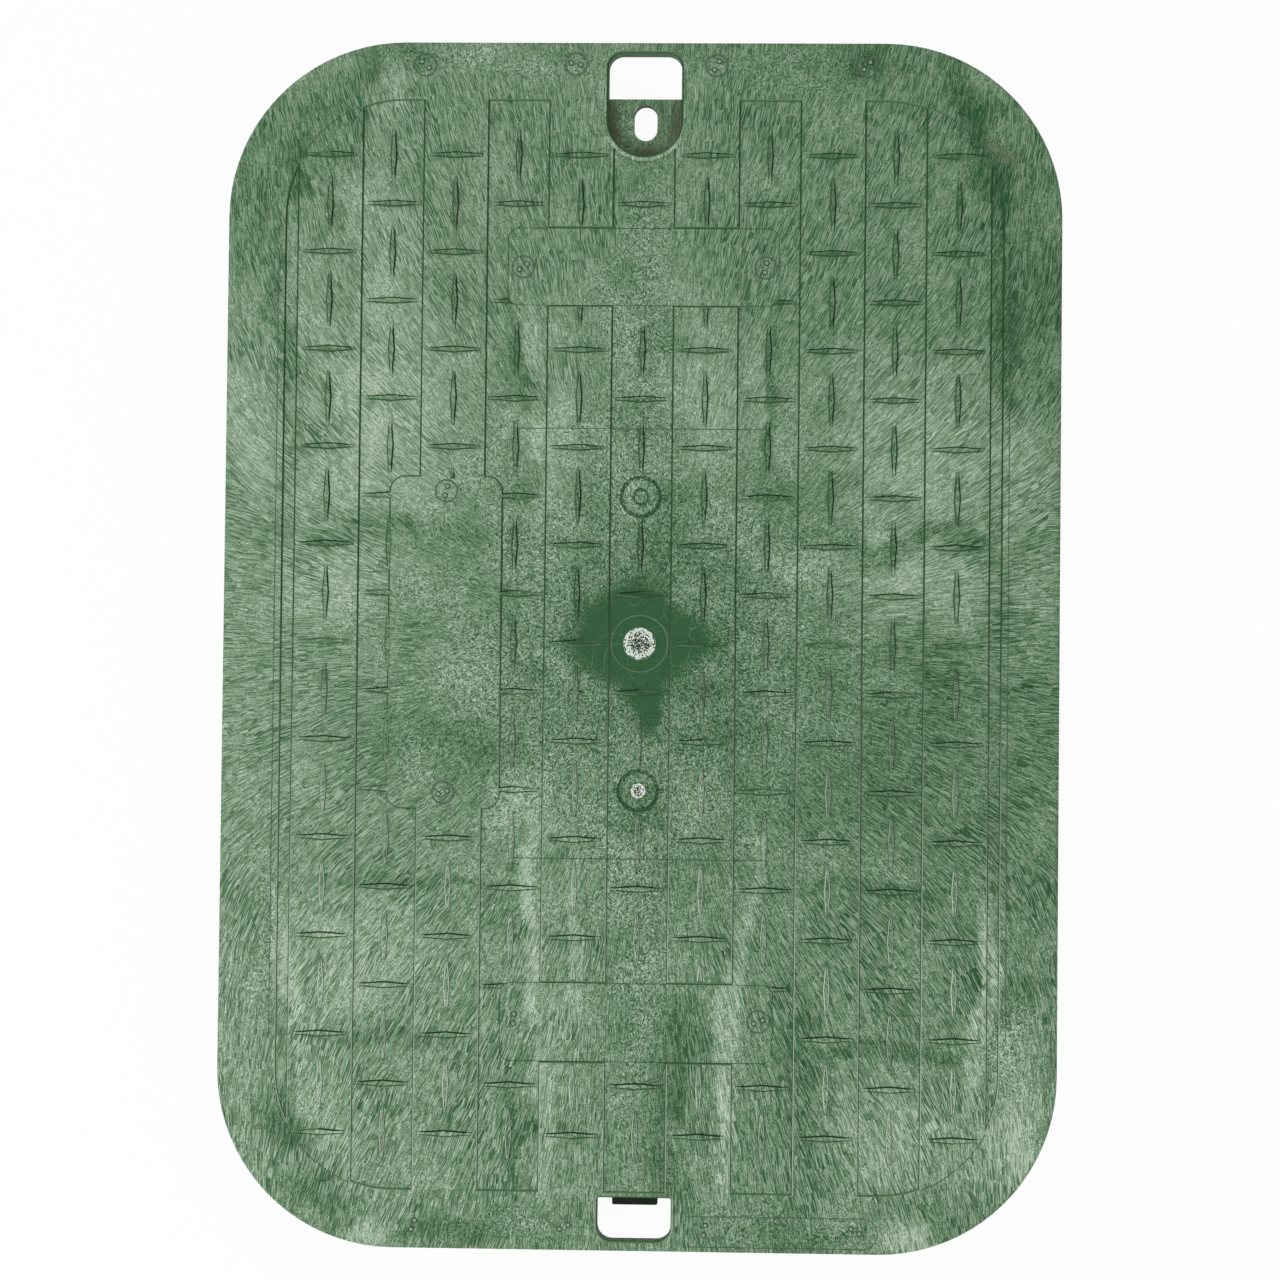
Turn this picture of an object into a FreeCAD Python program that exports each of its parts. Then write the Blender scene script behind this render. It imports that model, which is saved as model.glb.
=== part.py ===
"""Valve box cover: one structural-foam moulding that drops into the frame of an irrigation valve box.

Millimetres. The origin is under the middle of the plate, at the tips of the ribs. +Z is up, +Y runs
along the length towards the hand slot with the bolt pocket.
"""
import FreeCAD, Part
import math
import os

# Plate and rim
cover_width = 350.0
cover_length = 505.4
corner_radius = 74.0
top_z = 36.0            # rim level above the rib tips
deck_thickness = 7.0
rim_depth = 10.0        # rim level down to the face that seats on the box
rim_wall = 4.3
rim_edge_bevel = 1.2

# Skirt and ribs under the deck
skirt_inset = 22.1      # outer edge of the plate to the outer face of the skirt
skirt_wall = 4.0
rib_tip = 3.2           # rib thickness at its lower edge
rib_draft_deg = 1.0
rib_spacing_max = 45.0

# Tread field and its recessed columns
field_inset = 24.0      # outer edge of the plate to the tread field
column_pitch = 26.4
column_recess = 0.8
step_run = 0.7          # sideways run of the sloped wall of a recess

# Tread lugs, spindle shaped with sloped flanks and ramps down to narrow tips
row_pitch = 20.5
lug_length = 23.6
lug_width = 3.1         # at the middle of its length
lug_tip = 1.2           # width at the tips
lug_height = 1.0
lug_flank_run = 0.6     # sideways run of a flank
lug_end_run = 4.0       # lengthways run of the ramp at a tip
lug_overrun = 1.0       # how far the tip of a lug may pass the edge of the tread field

# Hand slots in the rim at both ends
slot_width = 30.8
slot_corner = 6.2
slot_inner_corner = 1.0
slot_edge_bevel = 0.8

# Bolt pocket behind the hand slot at +Y, with a long round-ended hole in its floor
pocket_depth = 10.5
pocket_length = 25.8    # skirt face to the round end of the pocket
pocket_floor = 5.0
pocket_lip = 2.3
bolt_hole_width = 9.8
bolt_hole_length = 15.0
bolt_hole_back = 13.0   # round end of the pocket to the middle of the hole's nearer end

# Catch tab in the hand slot at -Y
tab_width = 19.0
tab_reach = 4.1
tab_drop = 10.5         # rim level down to the tab's upper face
tab_tip_height = 3.0
tab_root_height = 8.0
tab_corner = 0.8

# Recessed label plates across the tread, one near each end
label_width = 115.4
label_length = 34.2
label_inset = 53.5      # end of the tread field to the outer edge of the plate
label_recess = 1.1
label_corner = 5.5

# Plain name plate at rim level, beside the middle
blank_width = 46.5
blank_length = 138.4
blank_centre_x = -81.75
blank_corner = 6.0

# Gate marks on the centre line
gate_ring_diameter = 23.5
gate_ring_recess = 0.4
gate_stub_diameter = 13.4
gate_stub_height = 0.5
side_gate_rows = 3      # rows of the tread between the middle and a side gate
side_gate_outer = 17.8
side_gate_inner = 14.8
side_gate_groove = 0.6
side_gate_spot = 6.4
side_gate_relief = 0.5

# Modelling allowances: how far tools overlap what they cut or join
overlap = 1.0
lug_root = 0.3          # part of a lug that is sunk into the face that carries it
scrap_share = 0.01      # trimmed ends smaller than this share of a lug are left off

# Levels and half sizes that follow from the sizes above
half_width = cover_width / 2
half_length = cover_length / 2
seat_z = top_z - rim_depth
deck_under_z = top_z - deck_thickness
column_floor_z = top_z - column_recess
field_half_x = half_width - field_inset
field_half_y = half_length - field_inset
skirt_y = half_length - skirt_inset
slot_outer_y = half_length - rim_wall
slot_half = slot_width / 2
pocket_end_y = skirt_y - pocket_length
pocket_centre_y = pocket_end_y + slot_half
side_gate_y = side_gate_rows * row_pitch


def point(x, y, z=0.0):
    return FreeCAD.Vector(x, y, z)


def outline(half_x, half_y, radii, z, centre=(0.0, 0.0)):
    """Closed wire of a rectangle with round corners; radii run counter-clockwise from +X +Y."""
    cx, cy = centre
    corners = [(1, 1), (-1, 1), (-1, -1), (1, -1)]
    mid = math.sqrt(0.5)
    arcs = []
    for (sx, sy), r in zip(corners, radii):
        ox, oy = cx + sx * (half_x - r), cy + sy * (half_y - r)
        ends = [point(ox + sx * r, oy, z), point(ox, oy + sy * r, z)]
        if sx * sy < 0:
            ends.reverse()
        arcs.append(Part.Arc(ends[0], point(ox + sx * r * mid, oy + sy * r * mid, z), ends[1]).toShape())
    edges = []
    for arc, following in zip(arcs, arcs[1:] + arcs[:1]):
        edges.append(arc)
        start = arc.valueAt(arc.LastParameter)
        end = following.valueAt(following.FirstParameter)
        edges.append(Part.LineSegment(start, end).toShape())
    return Part.Wire(Part.__sortEdges__(edges))


def prism(wire, height):
    return Part.Face(wire).extrude(point(0, 0, height))


def plate_prism(inset, low_z, high_z):
    """Upright prism of the plate's own outline, moved inwards by inset."""
    radii = [corner_radius - inset] * 4
    return prism(outline(half_width - inset, half_length - inset, radii, low_z), high_z - low_z)


def sloped_block(half_x, half_y, radius, low_z, high_z, low_grow, centre=(0.0, 0.0)):
    """Round-cornered block of the stated size at rim level; its walls run out by low_grow per recess."""
    wires = []
    for z in (low_z, high_z):
        grow = low_grow * (top_z - z) / column_recess
        wires.append(outline(half_x + grow, half_y + grow, [radius + grow] * 4, z, centre))
    return Part.makeLoft(wires, True, True)


def deck_and_rim():
    """Deck with its turned-down rim wall and a bevelled upper edge."""
    block = plate_prism(0.0, seat_z, top_z)
    upper = [e for e in block.Edges if e.BoundBox.ZMin > top_z - overlap / 2]
    block = block.makeChamfer(rim_edge_bevel, upper)
    return block.cut(plate_prism(rim_wall, seat_z - overlap, deck_under_z))


def skirt():
    outer = plate_prism(skirt_inset, 0.0, deck_under_z + overlap)
    return outer.cut(plate_prism(skirt_inset + skirt_wall, -overlap, deck_under_z + 2 * overlap))


def rib_lines():
    """Rib centre lines: those across X start beside the hand slots, those along Y divide the length."""
    inner_x = half_width - skirt_inset - skirt_wall + rib_tip / 2
    first = slot_half + rib_tip / 2
    count = math.ceil((inner_x - first) / rib_spacing_max)
    step = (inner_x - first) / count
    positive = [first + i * step for i in range(count)]
    inner_y = half_length - skirt_inset - skirt_wall + rib_tip / 2
    cells = math.ceil(2 * inner_y / rib_spacing_max)
    across = [-inner_y + 2 * inner_y * i / cells for i in range(1, cells)]
    return [-x for x in reversed(positive)] + positive, across


def rib(low_z, high_z, low_thickness, high_thickness):
    """Rib along Y through the origin, long enough to cross the plate either way."""
    low, high = low_thickness / 2, high_thickness / 2
    start = -half_length - half_width
    section = Part.makePolygon([point(-low, start, low_z), point(low, start, low_z),
                                point(high, start, high_z), point(-high, start, high_z),
                                point(-low, start, low_z)])
    return Part.Face(section).extrude(point(0, -2 * start, 0))


def rib_grid():
    """Crossing ribs inside the skirt, and the low webs that carry them on to the rim."""
    along, across = rib_lines()
    root = rib_tip + 2 * (deck_under_z + overlap) * math.tan(math.radians(rib_draft_deg))
    deep = rib(0.0, deck_under_z + overlap, rib_tip, root)
    low = rib(seat_z, deck_under_z + overlap, rib_tip, rib_tip)
    limits = [(deep, plate_prism(skirt_inset + skirt_wall / 2, -overlap, top_z)),
              (low, plate_prism(rim_wall / 2, 0.0, top_z))]
    grid = []
    for proto, limit in limits:
        bars = [proto.translated(point(x, 0)) for x in along]
        turned = proto.rotated(point(0, 0), point(0, 0, 1), 90)
        bars += [turned.translated(point(0, y)) for y in across]
        grid.append(bars[0].multiFuse(bars[1:]).common(limit))
    return grid


def box_between(x_half, y0, y1, z0, z1):
    return Part.makeBox(2 * x_half, y1 - y0, z1 - z0, point(-x_half, y0, z0))


def slot_collars():
    """Full-depth walls round both hand slots, between skirt and rim."""
    wide = slot_half + rib_tip
    inner = skirt_y - skirt_wall / 2
    outer = half_length - rim_wall / 2
    high = deck_under_z + overlap
    return [box_between(wide, inner, outer, seat_z, high), box_between(wide, -outer, -inner, seat_z, high)]


def round_ended(radius, low_z, high_z, square_end_y):
    """Prism with its round end towards the middle of the plate and its square end at square_end_y."""
    centre = point(0, pocket_centre_y, low_z)
    side = point(radius, 0)
    arc = Part.Arc(centre - side, centre + point(0, -radius), centre + side).toShape()
    right, left = point(radius, square_end_y, low_z), point(-radius, square_end_y, low_z)
    sides = Part.makePolygon([centre + side, right, left, centre - side])
    return prism(Part.Wire([arc] + sides.Edges), high_z - low_z)


def pocket_tub():
    low = top_z - pocket_depth - pocket_floor
    return round_ended(slot_half + rib_tip, low, deck_under_z + overlap, skirt_y - skirt_wall / 2)


def catch_tab():
    """Tab that stands out of the skirt below the hand slot, with a sloped underside and round corners."""
    root_y, tip_y = -skirt_y + skirt_wall / 2, -skirt_y - tab_reach
    high = top_z - tab_drop
    profile = [(root_y, high), (tip_y, high), (tip_y, high - tab_tip_height),
               (-skirt_y, high - tab_root_height), (root_y, high - tab_root_height)]
    section = Part.makePolygon([point(-tab_width / 2, y, z) for y, z in profile + profile[:1]])
    tab = Part.Face(section).extrude(point(tab_width, 0, 0))
    at_tip = [e for e in tab.Edges if e.BoundBox.YMax < tip_y + tab_corner]
    corners = [e for e in at_tip if e.BoundBox.XLength < tab_corner]
    return tab.makeFillet(tab_corner, corners)


def pocket_and_slot_tool():
    """Opening at +Y: the round-ended pocket and the hand slot in one sweep, down to the pocket floor."""
    half_y = (slot_outer_y - pocket_end_y) / 2
    radii = [slot_corner, slot_corner, slot_half, slot_half]
    low = top_z - pocket_depth
    middle = (0.0, pocket_end_y + half_y)
    return prism(outline(slot_half, half_y, radii, low, middle), pocket_depth + overlap)


def far_slot_tool():
    """Hand slot at -Y, cut right through between skirt and rim."""
    half_y = (slot_outer_y - skirt_y) / 2
    radii = [slot_inner_corner, slot_inner_corner, slot_corner, slot_corner]
    low = seat_z - overlap
    return prism(outline(slot_half, half_y, radii, low, (0.0, -skirt_y - half_y)), rim_depth + 2 * overlap)


def bolt_hole_tool():
    """Long hole with two half-round ends, through the floor of the pocket."""
    radius = bolt_hole_width / 2
    low = top_z - pocket_depth - pocket_floor - overlap
    near = point(0, pocket_end_y + bolt_hole_back, low)
    far = near + point(0, bolt_hole_length - bolt_hole_width)
    side = point(radius, 0)
    near_end = Part.Arc(near - side, near + point(0, -radius), near + side).toShape()
    far_end = Part.Arc(far + side, far + point(0, radius), far - side).toShape()
    right = Part.LineSegment(near + side, far + side).toShape()
    left = Part.LineSegment(far - side, near - side).toShape()
    return prism(Part.Wire([near_end, right, far_end, left]), pocket_floor + 2 * overlap)


def skirt_notch_tool():
    """Way out through the skirt below the pocket, flush with the two drafted ribs beside it."""
    high = top_z - pocket_depth - pocket_floor
    lean = math.tan(math.radians(rib_draft_deg))
    low_half, high_half = slot_half + overlap * lean, slot_half - high * lean
    inner = skirt_y - skirt_wall - overlap
    section = Part.makePolygon([point(-low_half, inner, -overlap), point(low_half, inner, -overlap),
                                point(high_half, inner, high), point(-high_half, inner, high),
                                point(-low_half, inner, -overlap)])
    return Part.Face(section).extrude(point(0, skirt_wall + 2 * overlap, 0))


def column_tools():
    """Cutters of the recessed columns: every second column, ended by the field and the raised plates."""
    high = top_z + overlap
    rise = step_run / column_recess
    wide, narrow = column_pitch / 2 + overlap * rise, column_pitch / 2 - step_run
    start = -half_length
    section = Part.makePolygon([point(-narrow, start, column_floor_z), point(narrow, start, column_floor_z),
                                point(wide, start, high), point(-wide, start, high),
                                point(-narrow, start, column_floor_z)])
    bar = Part.Face(section).extrude(point(0, 2 * half_length, 0))
    last = round(field_half_x / column_pitch)
    bars = [bar.translated(point(k * column_pitch, 0)) for k in range(-last, last + 1) if k % 2 == 0]
    field = sloped_block(field_half_x, field_half_y, corner_radius - field_inset, column_floor_z, high,
                         -step_run)
    blank = sloped_block(blank_width / 2, blank_length / 2, blank_corner, column_floor_z - overlap,
                         high + overlap, step_run, (blank_centre_x, 0.0))
    lip = round_ended(slot_half + pocket_lip, column_floor_z - overlap, high + overlap, half_length)
    return [b.common(field).cut([blank, lip]) for b in bars]


def label_tools():
    """Cutters of the two recessed label plates."""
    centre_y = field_half_y - label_inset - label_length / 2
    low, high = top_z - label_recess, top_z + lug_height + overlap
    return [sloped_block(label_width / 2, label_length / 2, label_corner, low, high, -step_run,
                         (0.0, side * centre_y)) for side in (1, -1)]


def lug_ring(z):
    """Six corners of a lug's section at a level: narrow at both ends on X and full width in the middle."""
    half_length_of_lug, half_middle, half_tip = lug_length / 2, lug_width / 2, lug_tip / 2
    taper = (half_middle - half_tip) / half_length_of_lug
    rise = z / lug_height
    end = half_length_of_lug - lug_end_run * rise
    middle = half_middle - lug_flank_run * rise * math.hypot(1.0, taper)
    tip = middle - taper * end
    corners = [(end, tip), (0, middle), (-end, tip), (-end, -tip), (0, -middle), (end, -tip)]
    return [point(x, y, z) for x, y in corners]


def lug():
    """Spindle-shaped lug along X on z = 0, with flat flanks and ramps that slope inwards to a flat top."""
    low = lug_ring(-lug_root)
    high = lug_ring(lug_height)
    faces = [Part.Face(Part.makePolygon(ring + ring[:1])) for ring in (low, high)]
    for i, corner in enumerate(low):
        j = (i + 1) % len(low)
        faces.append(Part.Face(Part.makePolygon([corner, low[j], high[j], high[i], corner])))
    return Part.makeSolid(Part.Shell(faces))


def in_field(x, y):
    """True where the tip of a lug lies inside the round-cornered tread field, or little outside it."""
    radius = corner_radius - field_inset
    dx = max(abs(x) - (field_half_x - radius), 0.0)
    dy = max(abs(y) - (field_half_y - radius), 0.0)
    return math.hypot(dx, dy) <= radius + lug_overrun


def near_pocket(x, y):
    """True where a point lies inside the lip round the pocket."""
    radius = slot_half + pocket_lip
    return math.hypot(x, min(y - pocket_centre_y, 0.0)) < radius


def lug_pattern():
    """Basket-weave of lugs: neighbours in a row and in a column stand crosswise to each other."""
    along_x = lug()
    along_y = along_x.rotated(point(0, 0), point(0, 0, 1), 90)
    reach = lug_length / 2
    columns = math.floor((field_half_x - reach) / column_pitch)
    rows = math.floor((field_half_y - reach) / row_pitch)
    lugs = []
    for k in range(-columns, columns + 1):
        for j in range(-rows, rows + 1):
            x, y = k * column_pitch, j * row_pitch
            flat = (j + k) % 2 == 1
            dx, dy = (reach, 0.0) if flat else (0.0, reach)
            tips = [(x + dx, y + dy), (x - dx, y - dy)]
            if all(in_field(*tip) for tip in tips) and not any(near_pocket(*tip) for tip in tips):
                z = top_z if k % 2 else column_floor_z
                lugs.append((along_x if flat else along_y).translated(point(x, y, z)))
    return lugs


def trimmed_lugs():
    """Lugs with their ends cut off at the name plate and at the round gate marks."""
    low, high = column_floor_z - overlap, top_z + lug_height + overlap
    inset = step_run
    radii = [blank_corner - inset] * 4
    plate = outline(blank_width / 2 - inset, blank_length / 2 - inset, radii, low, (blank_centre_x, 0.0))
    keep_out = [prism(plate, high - low)]
    rings = [(0.0, gate_ring_diameter), (side_gate_y, side_gate_outer), (-side_gate_y, side_gate_outer)]
    keep_out += [Part.makeCylinder(d / 2, high - low, point(0, y, low)) for y, d in rings]
    smallest = scrap_share * lug().Volume
    kept = []
    for solid in lug_pattern():
        hits = [tool for tool in keep_out if tool.BoundBox.intersect(solid.BoundBox)]
        rest = solid.cut(hits) if hits else solid
        kept += [piece for piece in rest.Solids if piece.Volume > smallest]
    return kept


def disc(diameter, y, low_z, high_z):
    return Part.makeCylinder(diameter / 2, high_z - low_z, point(0, y, low_z))


def gate_tools():
    """Sunk parts of the gate marks: the middle ring, the side grooves and the upper side gate's dimple."""
    high = column_floor_z + overlap
    sunk = [disc(gate_ring_diameter, 0.0, column_floor_z - gate_ring_recess, high)]
    for y in (side_gate_y, -side_gate_y):
        groove = disc(side_gate_outer, y, column_floor_z - side_gate_groove, high)
        sunk.append(groove.cut(disc(side_gate_inner, y, column_floor_z - overlap, high + overlap)))
    sunk.append(disc(side_gate_spot, side_gate_y, column_floor_z - side_gate_relief, high))
    return sunk


def gate_stubs():
    """Broken-off gates that stand up: the wide one in the middle and the small lower side gate."""
    ring_floor = column_floor_z - gate_ring_recess
    spot_low, spot_high = column_floor_z - lug_root, column_floor_z + side_gate_relief
    return [disc(gate_stub_diameter, 0.0, ring_floor - lug_root, ring_floor + gate_stub_height),
            disc(side_gate_spot, -side_gate_y, spot_low, spot_high)]


def bevel_mouths(body):
    """Bevel the upper edges of both slot openings."""
    edges = []
    for edge in body.Edges:
        box = edge.BoundBox
        inside = box.XMax < slot_half + overlap and box.XMin > -slot_half - overlap
        at_ends = min(abs(box.YMin), abs(box.YMax)) > pocket_end_y - overlap
        if box.ZMin > top_z - overlap / 2 and inside and at_ends:
            edges.append(edge)
    return body.makeChamfer(slot_edge_bevel, edges)


def build_cover():
    body = deck_and_rim()
    under = [skirt()] + rib_grid() + slot_collars() + [pocket_tub(), catch_tab()]
    body = body.multiFuse(under).removeSplitter()
    body = body.cut([pocket_and_slot_tool(), far_slot_tool(), bolt_hole_tool(), skirt_notch_tool()])
    body = bevel_mouths(body)
    body = body.cut(column_tools() + gate_tools())
    body = body.multiFuse(trimmed_lugs() + gate_stubs())
    body = body.cut(label_tools()).removeSplitter()
    return body.Solids[0] if len(body.Solids) == 1 else body


os.makedirs("parts", exist_ok=True)
cover = build_cover()
cover.exportStep("parts/cover.step")
print("cover: solids", len(cover.Solids), "faces", len(cover.Faces), "valid", cover.isValid(),
      "volume cm3", round(cover.Volume / 1000, 1))
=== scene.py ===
"""Valve box cover: finish, moulding marks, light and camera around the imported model.

The scene is in metres, in the model's own frame: +Z is up and +Y runs along the length towards the hand
slot with the bolt pocket. Sizes are written in millimetres and turned to metres where a mesh needs them.
"""

import math
from types import SimpleNamespace

import bmesh
import bpy
from mathutils import Euler, Matrix, Vector


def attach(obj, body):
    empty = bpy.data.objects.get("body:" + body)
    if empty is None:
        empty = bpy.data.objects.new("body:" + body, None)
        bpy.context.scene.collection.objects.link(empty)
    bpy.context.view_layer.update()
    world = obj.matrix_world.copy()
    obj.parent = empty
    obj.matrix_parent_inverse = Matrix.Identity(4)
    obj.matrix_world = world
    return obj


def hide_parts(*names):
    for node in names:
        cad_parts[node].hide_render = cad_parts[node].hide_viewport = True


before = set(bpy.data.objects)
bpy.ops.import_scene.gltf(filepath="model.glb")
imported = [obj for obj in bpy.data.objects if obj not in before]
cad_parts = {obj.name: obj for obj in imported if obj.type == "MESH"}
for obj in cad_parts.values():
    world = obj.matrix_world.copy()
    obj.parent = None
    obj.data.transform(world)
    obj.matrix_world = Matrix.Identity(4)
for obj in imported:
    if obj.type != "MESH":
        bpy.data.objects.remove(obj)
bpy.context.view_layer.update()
scene = bpy.context.scene
scene.view_settings.view_transform = "Standard"

MM = 0.001

# Levels and sizes of the moulding that the looks refer to, in mm
RIM_Z = 36.0
LABEL_Z = 34.9
HALF_WIDTH = 175.0
HALF_LENGTH = 252.7
CORNER_RADIUS = 74.0
STRAIGHT_X = HALF_WIDTH - CORNER_RADIUS
STRAIGHT_Y = HALF_LENGTH - CORNER_RADIUS
GATE_RING = 11.75       # radius of the ring round the middle gate
GROOVE_Z = 34.6         # floor of the grooves round the side gates
DIMPLE_Y = 61.5         # middle of the upper side gate, which is a dimple
DIMPLE_RADIUS = 3.1
STEP_HALF_Z = 35.6         # half way up the steps of the recessed columns
POCKET_Y = 220.2        # middle of the round end of the bolt pocket
POCKET_FLOOR_Z = 25.5
LIP_RADIUS = 16.8       # middle of the lip round the pocket
TAB_Y = -229.0
TAB_Z = 25.5
TURN_REACH = 110.0      # distance along the length at which the melt turns along the long edges
TURN_POWER = 6.0        # how sharply that sets in towards the long edges
TURN_SLOWING = 3.0      # how much less the melt spreads across the width there

# Camera: long lens 1.5 m above the rim, a little to the right of and below the middle of the plate
LENS = 101.1
CAMERA_PLACE = (59.06, -48.17, RIM_Z + 1500.0)
CAMERA_TURN = (0.0334964, 0.0388628, 0.0104409)

camera_data = bpy.data.cameras.new("camera")
camera_data.lens = LENS
camera = bpy.data.objects.new("camera", camera_data)
camera.matrix_world = Matrix.Translation(Vector(CAMERA_PLACE) * MM) @ Euler(CAMERA_TURN).to_matrix().to_4x4()
scene.collection.objects.link(camera)
scene.camera = camera


def linear(hex_colour):
    """sRGB hex to linear RGBA."""
    channels = [int(hex_colour[i:i + 2], 16) / 255 for i in (1, 3, 5)]
    return tuple(c / 12.92 if c <= 0.04045 else ((c + 0.055) / 1.055) ** 2.4 for c in channels) + (1.0,)


def add(tree, kind, feeds=(), **settings):
    """Adds one node. Feeds go to inputs by place or name: a node (its first output), a socket or a value."""
    node = tree.nodes.new(kind)
    for key, value in settings.items():
        setattr(node, key, value)
    for key, value in feeds.items() if isinstance(feeds, dict) else enumerate(feeds):
        value = value.outputs[0] if isinstance(value, bpy.types.Node) else value
        if isinstance(value, bpy.types.NodeSocket):
            tree.links.new(value, node.inputs[key])
        else:
            node.inputs[key].default_value = value
    return node


def new_material(name):
    """Node material with its shader and the object's coordinates in mm."""
    material = bpy.data.materials.new(name)
    material.use_nodes = True
    tree = material.node_tree
    tree.nodes.clear()
    coords = add(tree, "ShaderNodeTexCoord")
    place = add(tree, "ShaderNodeVectorMath", {0: coords.outputs["Object"], "Scale": 1 / MM},
                operation="SCALE")
    shader = add(tree, "ShaderNodeBsdfPrincipled", {"IOR": 1.54})
    add(tree, "ShaderNodeOutputMaterial", [shader])
    return material, tree, coords, place, shader


def plan_distance(tree, place, x, y):
    """Distance in mm from an upright line through (x, y)."""
    local = add(tree, "ShaderNodeVectorMath", [place, (1, 1, 0), (-x, -y, 0)], operation="MULTIPLY_ADD")
    return add(tree, "ShaderNodeVectorMath", [local], operation="LENGTH").outputs["Value"]


def soft_patches(tree, place, patches, edge=1.0):
    """Sum of ellipses that fade over a share of their radius, the edge. Each patch is (x, y, half width, half
    length, turn in degrees, amount). The turned ones measure their depth from the rim inwards, the others
    their distance from the middle, which takes less of the renderer's memory."""
    total = None
    for x, y, half_x, half_y, turn, amount in patches:
        if turn:
            local = add(tree, "ShaderNodeMapping",
                        {"Vector": place, "Location": (x, y, 0), "Rotation": (0, 0, math.radians(turn)),
                         "Scale": (half_x, half_y, 0)}, vector_type="TEXTURE")
            depth = add(tree, "ShaderNodeTexGradient", [local], gradient_type="SPHERICAL").outputs["Fac"]
            rim, core = 0.0, edge
        else:
            shift = (-x / half_x, -y / half_y, 0)
            local = add(tree, "ShaderNodeVectorMath", [place, (1 / half_x, 1 / half_y, 0), shift],
                        operation="MULTIPLY_ADD")
            depth = add(tree, "ShaderNodeVectorMath", [local], operation="LENGTH").outputs["Value"]
            rim, core = 1.0, 1.0 - edge
        fade = add(tree, "ShaderNodeMapRange",
                   {"Value": depth, "From Min": rim, "From Max": core, "To Max": amount},
                   interpolation_type="SMOOTHSTEP")
        total = fade if total is None else add(tree, "ShaderNodeMath", [total, fade], operation="ADD")
    return total


# Flow marks of the melt, as soft patches in mm: pale drifts are positive, dark smooth green is negative
GATE_BLUSH = [(-7, 1, 26, 50, 0, 0.7), (7, 1, 26, 50, 0, 0.7), (24, 2, 32, 20, 0, 0.6),
              (-20, 3, 30, 26, 0, 0.6), (4, -28, 8, 24, 8, 0.7)]
DARK_FLOW = [(0, 0, 75, 85, 0, -0.14), (112, -48, 95, 75, 0, -0.1), (138, 224, 14, 30, 30, -0.34),
             (147, 186, 9, 42, 8, -0.32), (152, 128, 11, 48, 0, -0.3), (167, 150, 16, 70, 0, -0.14),
             (-147, 200, 10, 14, 0, -0.3), (-152, 148, 8, 60, 0, -0.24), (-112, 243, 40, 14, 20, -0.22),
             (-166, 190, 22, 60, 0, -0.2), (-138, 216, 26, 34, 30, -0.16), (-115, 46, 85, 9, 0, -0.18),
             (112, 43, 75, 9, 0, -0.2), (-90, -42, 55, 26, 0, -0.18), (30, -16, 20, 14, 0, -0.18),
             (-40, -12, 20, 11, 0, -0.16), (2, -70, 18, 14, 0, -0.2), (-147, -200, 14, 20, 0, -0.3),
             (-132, -234, 28, 14, -40, -0.24), (-80, -246, 55, 12, 0, -0.18), (88, -248, 34, 9, 0, -0.18),
             (-49, -210, 9, 42, 0, -0.27), (14, -190, 14, 60, 0, -0.22), (18, -220, 13, 22, 0, -0.2),
             (68, -165, 15, 60, 0, -0.16), (26, -165, 12, 22, 0, -0.16), (-54, 124, 6, 44, 4, -0.15),
             (56, 104, 6, 52, -3, -0.15), (-92, 246, 20, 9, 0, -0.16), (92, 246, 22, 9, 0, -0.16)]
PALE_DRIFTS = [(-166, 84, 20, 50, 0, 0.16), (-128, 26, 32, 30, 0, 0.18), (-108, 95, 60, 80, 0, 0.2),
               (-108, 165, 20, 45, 0, 0.12), (115, 82, 65, 65, 0, 0.25), (112, 24, 65, 24, 0, 0.26),
               (160, 70, 26, 50, 0, 0.16), (26, 100, 34, 62, 0, 0.2), (-34, 95, 18, 60, 0, 0.2),
               (-45, -72, 16, 26, 0, 0.22), (-112, -132, 48, 36, 0, 0.14), (-130, -180, 16, 66, 12, 0.08),
               (-121, -213, 11, 22, 40, 0.12), (-108, -246, 12, 13, 0, 0.4), (162, -200, 20, 70, 0, 0.3),
               (110, -202, 40, 40, 0, 0.26), (113, -246, 17, 12, 0, 0.4), (-33, -165, 16, 42, 0, 0.12),
               (-30, -92, 16, 36, 0, 0.12), (-46, 78, 9, 44, 3, 0.24), (150, -214, 28, 48, 0, 0.22),
               (166, 16, 16, 34, 0, 0.16)]
# Narrow streaks with clear edges, pale ones along the flow and dark ones across it
STREAK_EDGE = 0.45
STREAKS = [(-146, -142, 6, 44, 9, 0.2), (-44, -120, 5, 52, 3, 0.22), (-25, -130, 4, 40, 4, 0.12),
           (-37, -205, 5, 40, 0, 0.14), (50, -100, 4, 34, -8, 0.14), (40, -160, 6, 58, -4, 0.2),
           (38, -206, 5, 36, 0, 0.16), (144, -148, 7, 50, -5, 0.3), (-95, -101, 48, 4, 0, -0.13),
           (100, -101, 58, 4, 0, -0.12), (-108, -166, 40, 4, 0, -0.12), (110, -169, 48, 5, 0, -0.18),
           (-106, 239, 6, 22, 0, 0.12), (-46, 118, 5, 30, 0, 0.11), (48, 112, 5, 34, 0, 0.1)]
# Places where streams of melt met and the strokes of the skin lie in all directions
GRANULAR = [(0, 0, 150, 165, 0, 1.1), (0, 150, 24, 120, 0, 0.8), (0, -150, 24, 120, 0, 0.6),
            (-60, 244, 75, 12, 0, 0.7), (60, 244, 75, 12, 0, 0.7), (-60, -244, 70, 12, 0, 0.6),
            (60, -244, 70, 12, 0, 0.6), (155, -165, 16, 40, 0, 0.8), (-155, -120, 14, 60, 0, 0.6)]
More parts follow.
